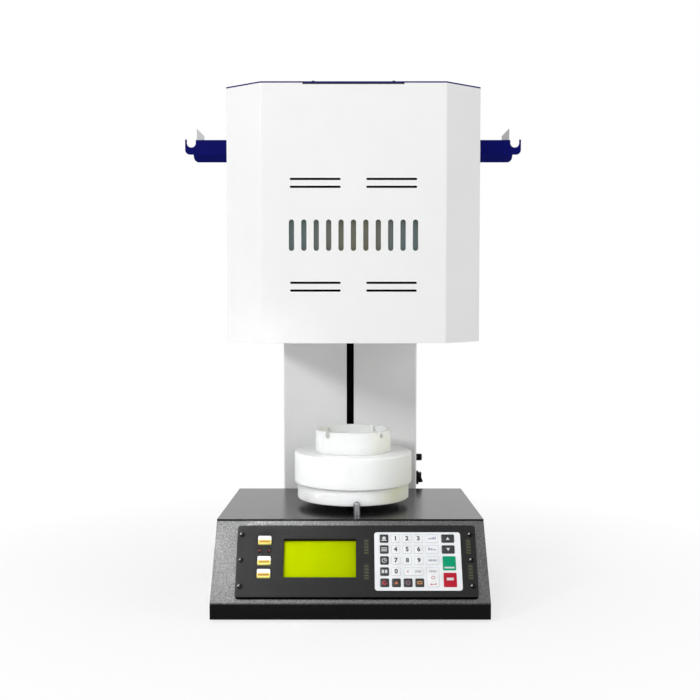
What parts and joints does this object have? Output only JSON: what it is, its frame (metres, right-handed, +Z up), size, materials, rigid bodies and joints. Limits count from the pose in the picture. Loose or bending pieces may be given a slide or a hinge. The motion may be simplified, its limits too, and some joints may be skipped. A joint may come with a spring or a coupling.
{
  "type": "dental lab furnace",
  "caption": "Bench sintering furnace with a lifting hearth under a white chamfered head, on a black console with display and keypad.",
  "frame": {"origin": "on the table, under the middle of the furnace's outer box", "axes": "+Z up, -Y towards the user (front), +X to the user's right"},
  "size_m": [0.543, 0.47, 0.7651],
  "materials": {
    "black_textured_powder": "matte",
    "dark_steel": "satin",
    "black_rubber": "matte",
    "bright_steel": "polished",
    "panel_grey": "satin",
    "black_screw": "satin",
    "black_plastic": "matte",
    "display_yellow": "gloss",
    "white_film": "satin",
    "key_black": "satin",
    "red_lens": "gloss",
    "circuit_green": "satin",
    "white_button": "satin",
    "spacer_brass": "satin",
    "core_steel": "matte",
    "coil_copper": "satin",
    "column_grey": "satin",
    "rocker_black": "gloss",
    "drive_aluminium": "satin",
    "motor_black": "satin",
    "hearth_white": "matte",
    "head_white": "satin",
    "navy_paint": "satin",
    "edge_black": "satin",
    "casing_steel": "satin",
    "fibre_white": "matte",
    "element_dark": "matte",
    "terminal_ceramic": "matte"
  },
  "bodies": {
    "furnace": {"base_cover": "black_textured_powder", "bottom_plate": "dark_steel", "rubber_feet": "black_rubber", "stop_pin": "bright_steel", "guide_rods": "bright_steel", "screw_bearings": "bright_steel", "head_bolts": "bright_steel", "hook_tabs": "bright_steel", "control_panel": "panel_grey", "panel_screws": "black_screw", "top_screws": "black_screw", "display_module": "black_plastic", "cable_gland": "black_plastic", "power_switch": "black_plastic", "fuse_holder": "black_plastic", "limit_switches": "black_plastic", "display_glass": "display_yellow", "keypad_film": "white_film", "keypad_keys": "key_black", "indicator_leds": "red_lens", "button_board": "circuit_green", "control_board": "circuit_green", "board_standoffs": "spacer_brass", "transformer_core": "core_steel", "transformer_coil": "coil_copper", "column_cover": "column_grey", "column_back": "column_grey", "column_cap": "column_grey", "motor_plate": "drive_aluminium", "screw_plates": "drive_aluminium", "lift_motor": "motor_black", "head_shell": "head_white", "head_bottom_plate": "head_white", "head_back": "navy_paint", "head_top_plate": "navy_paint", "hook_arms": "navy_paint", "hook_screws": "navy_paint", "top_edge_bracket": "edge_black", "inner_casing": "casing_steel", "insulation_body": "fibre_white", "insulation_lid": "fibre_white", "thermocouple": "fibre_white", "heating_elements": "element_dark", "element_terminals": "terminal_ceramic"},
    "hearth": {"carriage": "drive_aluminium", "lift_nut": "spacer_brass", "rod_bushings": "bright_steel", "lift_arm": "dark_steel", "hearth_plate": "dark_steel", "hearth_disc": "hearth_white", "hearth_plug": "hearth_white"},
    "screw": {"lead_screw": "bright_steel", "shaft_coupling": "drive_aluminium", "motor_shaft": "bright_steel"},
    "tray": {"firing_tray": "hearth_white"},
    "button_top": {"button_top": "white_button"},
    "button_middle": {"button_middle": "white_button"},
    "button_low": {"button_low": "white_button"},
    "rocker": {"power_rocker": "rocker_black"},
    "fuse_cap": {"fuse_cap": "black_plastic"}
  },
  "joints": [
    {"name": "hearth_lift", "type": "slide", "parent": "furnace", "child": "hearth", "axis": [0, 0, 1], "range_m": [0, 0.2286]},
    {"name": "screw_turn", "type": "hinge", "parent": "furnace", "child": "screw", "pos_m": [-0.0045, 0.157, 0.104], "axis": [0, 0, 1], "continuous": true},
    {"name": "tray_lift", "type": "slide", "parent": "hearth", "child": "tray", "axis": [0, 0, 1], "range_m": [0, 0.06]},
    {"name": "press_button_top", "type": "slide", "parent": "furnace", "child": "button_top", "axis": [0, 0.8095, -0.5871], "range_m": [0, 0.0015], "stiffness_N_per_m": 300, "springref_m": -0.003},
    {"name": "press_button_middle", "type": "slide", "parent": "furnace", "child": "button_middle", "axis": [0, 0.8095, -0.5871], "range_m": [0, 0.0015], "stiffness_N_per_m": 300, "springref_m": -0.003},
    {"name": "press_button_low", "type": "slide", "parent": "furnace", "child": "button_low", "axis": [0, 0.8095, -0.5871], "range_m": [0, 0.0015], "stiffness_N_per_m": 300, "springref_m": -0.003},
    {"name": "power_switch_tip", "type": "hinge", "parent": "furnace", "child": "rocker", "pos_m": [0.1123, 0.131, 0.1457], "axis": [0, 1, 0], "range_deg": [0, 20]},
    {"name": "fuse_cap_turn", "type": "hinge", "parent": "furnace", "child": "fuse_cap", "pos_m": [0.1075, 0.131, 0.1809], "axis": [1, 0, 0], "range_deg": [0, 90]}
  ],
  "couplings": [
    {"joint": "screw_turn", "follows": "hearth_lift", "rad_per_m": -628.32}
  ]
}
